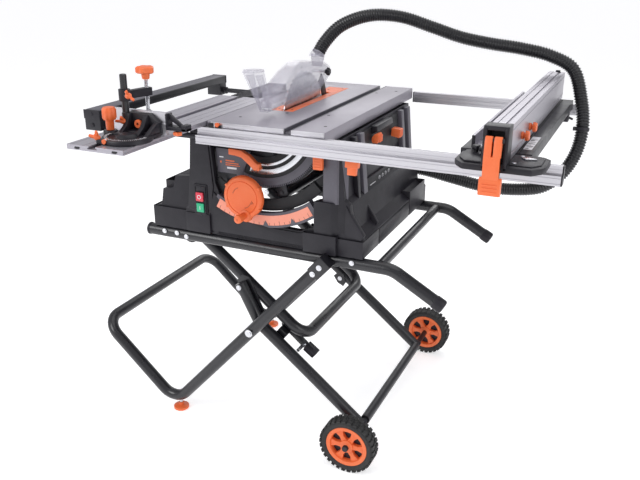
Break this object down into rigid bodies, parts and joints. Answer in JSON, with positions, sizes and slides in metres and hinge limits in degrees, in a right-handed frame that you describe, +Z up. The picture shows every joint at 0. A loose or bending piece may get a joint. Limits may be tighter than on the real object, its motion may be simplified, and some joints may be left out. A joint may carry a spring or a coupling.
{
  "type": "table saw on folding stand",
  "caption": "Contractor table saw with sliding mitre carriage, rip fence on extending rails, clear blade guard and dust hose, on a wheeled folding scissor stand.",
  "frame": {"origin": "centre of the footprint box, on the floor (hose not counted)", "axes": "+X along the fence rails towards the rip fence, +Y from the user to the back, +Z up"},
  "size_m": [1.2678, 1.007, 1.1071],
  "materials": {
    "black_plastic": "moulded, fine grain, satin",
    "black_paint": "satin black powder coat",
    "grey_paint": "grey painted cast aluminium, satin",
    "silver": "drawn aluminium extrusion",
    "steel": "bright steel",
    "orange": "orange moulded plastic",
    "rubber": "matte black rubber",
    "hose_black": "black corrugated hose",
    "clear": "clear moulded guard plastic",
    "red": "red button",
    "green": "green button"
  },
  "bodies": {
    "saw_base": {"top_rail_front": "black_paint", "top_rail_rear": "black_paint", "cross_tube_left": "black_paint", "cross_tube_right": "black_paint", "base_front": "black_plastic", "base_rear": "black_plastic", "base_left": "black_plastic", "base_right": "black_plastic", "switch_plate": "black_plastic", "dust_port": "black_plastic", "table_main": "grey_paint", "table_wing": "grey_paint", "mitre_track": "grey_paint", "throat_plate": "orange", "trunnion": "black_plastic", "carriage_guide": "black_plastic", "dust_hose": "hose_black"},
    "wheel_frame": {"inner_frame": "black_paint", "wheel_leg_front": "black_paint", "wheel_leg_rear": "black_paint", "wheel_axle": "steel", "scissor_pin_front": "steel", "scissor_pin_rear": "steel"},
    "foot_frame": {"foot_loop": "black_paint"},
    "foot_screw_front": {"levelling_foot_front": "orange"},
    "foot_screw_rear": {"levelling_foot_rear": "orange"},
    "wheel_front": {"tyre_front": "rubber", "wheel_hub_front": "orange"},
    "wheel_rear": {"tyre_rear": "rubber", "wheel_hub_rear": "orange"},
    "tilt_unit": {"tilt_cradle": "black_paint", "riving_knife": "black_paint", "hose_cuff": "clear"},
    "lift_unit": {"motor_unit": "black_paint"},
    "blade": {"saw_blade": "steel", "arbor": "steel"},
    "guard": {"blade_guard": "clear"},
    "guard_nose": {"guard_flap": "clear"},
    "crank": {"crank_wheel": "orange", "crank_handle": "orange"},
    "bevel_lock": {"bevel_lock_lever": "orange"},
    "rail_set": {"front_rail": "silver", "rear_rail": "silver", "right_support_bar": "black_paint"},
    "rail_lock": {"rail_lock_lever": "orange"},
    "fence": {"rip_fence": "silver", "fence_head": "black_plastic", "low_fence": "black_paint"},
    "fence_cam": {"fence_cam_lever": "orange"},
    "left_extension": {"left_support": "black_paint"},
    "carriage": {"carriage_table": "silver"},
    "mitre_gauge": {"protractor": "black_plastic", "gauge_fence": "silver", "fence_end_bracket": "black_plastic"},
    "mitre_handle": {"gauge_handle": "orange"},
    "clamp": {"clamp_arm": "black_paint"},
    "clamp_spindle": {"clamp_screw": "orange"},
    "stop": {"stop_button": "red"},
    "start": {"start_button": "green"}
  },
  "joints": [
    {"name": "stand_fold", "type": "hinge", "parent": "saw_base", "child": "wheel_frame", "pos_m": [-0.324, 0.1325, 0.534], "axis": [0, -1, 0], "range_deg": [0, 28]},
    {"name": "scissor_fold", "type": "hinge", "parent": "wheel_frame", "child": "foot_frame", "pos_m": [-0.12, 0.1325, 0.309], "axis": [0, -1, 0], "range_deg": [-56, 0]},
    {"name": "wheel_front_spin", "type": "hinge", "parent": "wheel_frame", "child": "wheel_front", "pos_m": [0.186, -0.2095, 0.075], "axis": [0, 1, 0], "continuous": true},
    {"name": "wheel_rear_spin", "type": "hinge", "parent": "wheel_frame", "child": "wheel_rear", "pos_m": [0.186, 0.4745, 0.075], "axis": [0, 1, 0], "continuous": true},
    {"name": "foot_front_turn", "type": "hinge", "parent": "foot_frame", "child": "foot_screw_front", "pos_m": [-0.368, -0.1545, 0.005], "axis": [0, 0, 1], "range_deg": [-180, 180]},
    {"name": "foot_rear_turn", "type": "hinge", "parent": "foot_frame", "child": "foot_screw_rear", "pos_m": [-0.368, 0.4195, 0.005], "axis": [0, 0, 1], "range_deg": [-180, 180]},
    {"name": "bevel_tilt", "type": "hinge", "parent": "saw_base", "child": "tilt_unit", "pos_m": [-0.102, 0.1325, 0.875], "axis": [0, -1, 0], "range_deg": [0, 45]},
    {"name": "blade_lift", "type": "slide", "parent": "tilt_unit", "child": "lift_unit", "axis": [0, 0, 1], "range_m": [-0.085, 0]},
    {"name": "crank_turn", "type": "hinge", "parent": "tilt_unit", "child": "crank", "pos_m": [-0.132, -0.1525, 0.683], "axis": [0, -1, 0], "range_deg": [-3840, 10]},
    {"name": "blade_spin", "type": "hinge", "parent": "lift_unit", "child": "blade", "pos_m": [-0.102, 0.1325, 0.8325], "axis": [1, 0, 0], "continuous": true},
    {"name": "guard_lift", "type": "hinge", "parent": "tilt_unit", "child": "guard", "pos_m": [-0.102, 0.2485, 0.948], "axis": [-1, 0, 0], "range_deg": [0, 10]},
    {"name": "nose_swing", "type": "hinge", "parent": "guard", "child": "guard_nose", "pos_m": [-0.102, -0.0755, 0.892], "axis": [1, 0, 0], "range_deg": [0, 15]},
    {"name": "bevel_lock_turn", "type": "hinge", "parent": "tilt_unit", "child": "bevel_lock", "pos_m": [-0.102, -0.1355, 0.764], "axis": [0, 1, 0], "range_deg": [-15, 15]},
    {"name": "rail_extend", "type": "slide", "parent": "saw_base", "child": "rail_set", "axis": [-1, 0, 0], "range_m": [0, 0.28]},
    {"name": "rail_lock_turn", "type": "hinge", "parent": "saw_base", "child": "rail_lock", "pos_m": [0.163, -0.1565, 0.812], "axis": [-1, 0, 0], "range_deg": [0, 45]},
    {"name": "fence_slide", "type": "slide", "parent": "rail_set", "child": "fence", "axis": [1, 0, 0], "range_m": [-0.49, 0]},
    {"name": "fence_cam_turn", "type": "hinge", "parent": "fence", "child": "fence_cam", "pos_m": [0.513, -0.3185, 0.93], "axis": [-1, 0, 0], "range_deg": [0, 70]},
    {"name": "left_support_slide", "type": "slide", "parent": "saw_base", "child": "left_extension", "axis": [-1, 0, 0], "range_m": [-0.12, 0]},
    {"name": "carriage_slide", "type": "slide", "parent": "saw_base", "child": "carriage", "axis": [0, 1, 0], "range_m": [0, 0.4]},
    {"name": "mitre_swing", "type": "hinge", "parent": "carriage", "child": "mitre_gauge", "pos_m": [-0.258, -0.4275, 0.88], "axis": [0, 0, 1], "range_deg": [-45, 45]},
    {"name": "mitre_handle_turn", "type": "hinge", "parent": "mitre_gauge", "child": "mitre_handle", "pos_m": [-0.315, -0.4125, 0.9], "axis": [0, 0, 1], "range_deg": [-120, 120]},
    {"name": "clamp_height", "type": "slide", "parent": "mitre_gauge", "child": "clamp", "axis": [0, 0, 1], "range_m": [-0.02, 0.025]},
    {"name": "clamp_feed", "type": "slide", "parent": "clamp", "child": "clamp_spindle", "axis": [0, 0, 1], "range_m": [-0.018, 0.03]},
    {"name": "stop_press", "type": "slide", "parent": "saw_base", "child": "stop", "axis": [0, 1, 0], "range_m": [0, 0.003], "stiffness_N_per_m": 400, "springref_m": -0.001},
    {"name": "start_press", "type": "slide", "parent": "saw_base", "child": "start", "axis": [0, 1, 0], "range_m": [0, 0.003], "stiffness_N_per_m": 400, "springref_m": -0.001}
  ],
  "couplings": [
    {"joint": "scissor_fold", "follows": "stand_fold", "ratio": -2},
    {"joint": "crank_turn", "follows": "blade_lift", "rad_per_m": 785.4}
  ]
}
